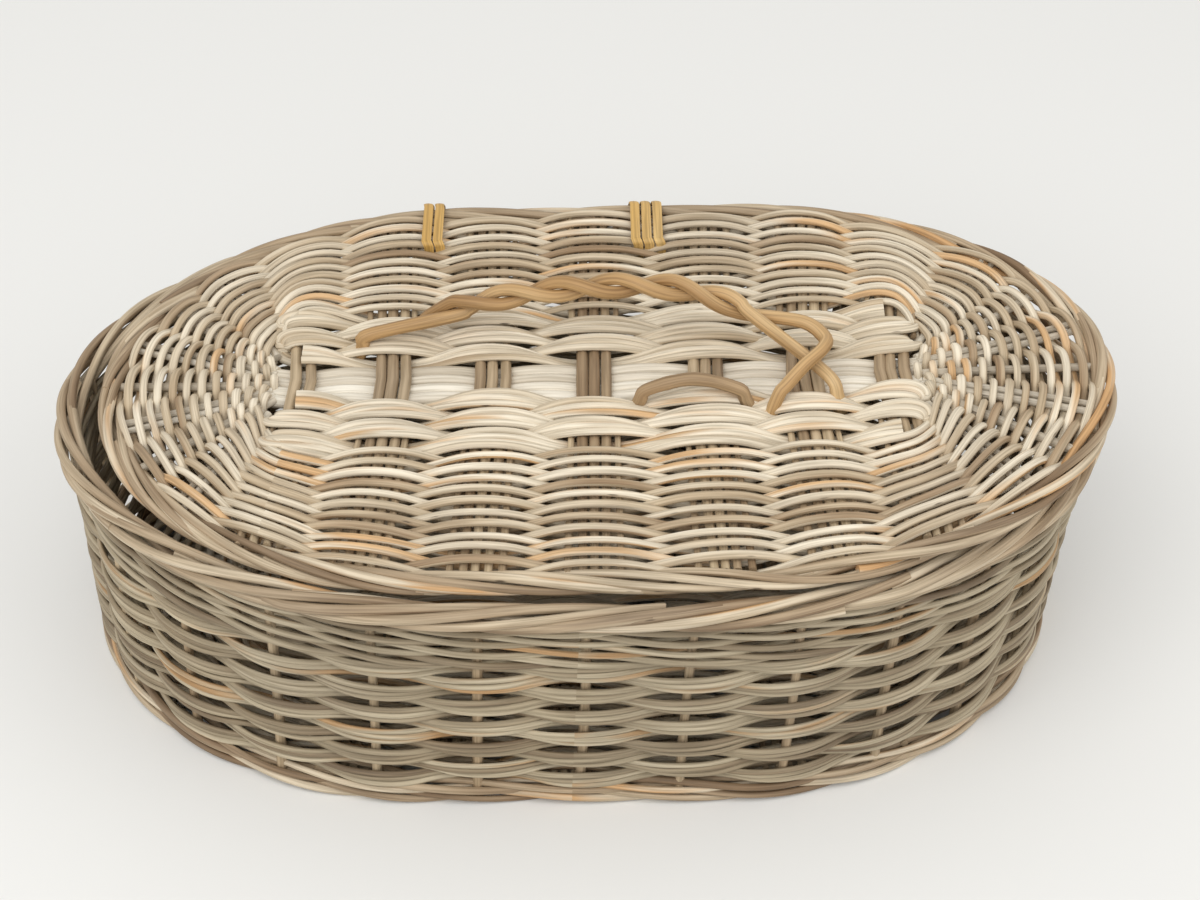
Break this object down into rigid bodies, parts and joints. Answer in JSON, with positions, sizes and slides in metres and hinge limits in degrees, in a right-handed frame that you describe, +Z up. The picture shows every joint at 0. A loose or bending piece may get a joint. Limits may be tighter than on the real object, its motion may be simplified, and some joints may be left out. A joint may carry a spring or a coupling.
{
  "type": "lidded wicker basket",
  "caption": "Oval willow basket with slightly flared woven walls and a flat woven lid hinged on cane loops, lifted by a twisted rod handle.",
  "frame": {"origin": "middle of the bounding box on the floor that the basket stands on", "axes": "+X along the basket's length, +Y from the front to the hinge side, +Z up"},
  "size_m": [0.48, 0.2961, 0.1771],
  "materials": {
    "woven_willow": "dry buff willow rods, weathered tan to grey",
    "border_willow": "dry brown willow rods, faint sheen",
    "bleached_sticks": "pale bleached willow, matt",
    "weathered_sticks": "grey-brown weathered willow, matt",
    "handle_willow": "honey tan willow, worn to a low sheen",
    "tail_willow": "tan willow, low sheen",
    "split_cane": "golden split cane, low sheen"
  },
  "bodies": {
    "basket": {"base_cross_sticks_1": "weathered_sticks", "base_cross_sticks_2": "weathered_sticks", "base_cross_sticks_3": "weathered_sticks", "base_cross_sticks_4": "weathered_sticks", "base_cross_sticks_5": "weathered_sticks", "base_cross_sticks_6": "weathered_sticks", "base_cross_sticks_7": "weathered_sticks", "base_long_sticks": "bleached_sticks", "base_spoke_left_1": "bleached_sticks", "base_spoke_left_2": "bleached_sticks", "base_spoke_left_3": "bleached_sticks", "base_spoke_left_4": "bleached_sticks", "base_spoke_left_5": "bleached_sticks", "base_spoke_left_6": "bleached_sticks", "base_spoke_left_7": "bleached_sticks", "base_spoke_right_1": "bleached_sticks", "base_spoke_right_2": "bleached_sticks", "base_spoke_right_3": "bleached_sticks", "base_spoke_right_4": "bleached_sticks", "base_spoke_right_5": "bleached_sticks", "base_spoke_right_6": "bleached_sticks", "base_spoke_right_7": "bleached_sticks", "base_weave": "woven_willow", "foot_wale": "border_willow", "side_weave": "woven_willow", "stakes_and_rim": "border_willow", "upper_wale": "border_willow"},
    "lid": {"handle_rod_front": "handle_willow", "handle_rod_rear": "handle_willow", "handle_tail_rod": "tail_willow", "hinge_loop_left": "split_cane", "hinge_loop_right": "split_cane", "lid_border": "border_willow", "lid_cross_sticks_1": "weathered_sticks", "lid_cross_sticks_2": "weathered_sticks", "lid_cross_sticks_3": "weathered_sticks", "lid_cross_sticks_4": "weathered_sticks", "lid_cross_sticks_5": "weathered_sticks", "lid_cross_sticks_6": "weathered_sticks", "lid_cross_sticks_7": "weathered_sticks", "lid_long_sticks": "bleached_sticks", "lid_spoke_left_1": "bleached_sticks", "lid_spoke_left_2": "bleached_sticks", "lid_spoke_left_3": "bleached_sticks", "lid_spoke_left_4": "bleached_sticks", "lid_spoke_left_5": "bleached_sticks", "lid_spoke_left_6": "bleached_sticks", "lid_spoke_left_7": "bleached_sticks", "lid_spoke_right_1": "bleached_sticks", "lid_spoke_right_2": "bleached_sticks", "lid_spoke_right_3": "bleached_sticks", "lid_spoke_right_4": "bleached_sticks", "lid_spoke_right_5": "bleached_sticks", "lid_spoke_right_6": "bleached_sticks", "lid_spoke_right_7": "bleached_sticks", "lid_weave": "woven_willow"}
  },
  "joints": [
    {"name": "lid_hinge", "type": "hinge", "parent": "basket", "child": "lid", "pos_m": [0.01, 0.1382, 0.1219], "axis": [-1, 0, 0], "range_deg": [0, 125]}
  ]
}
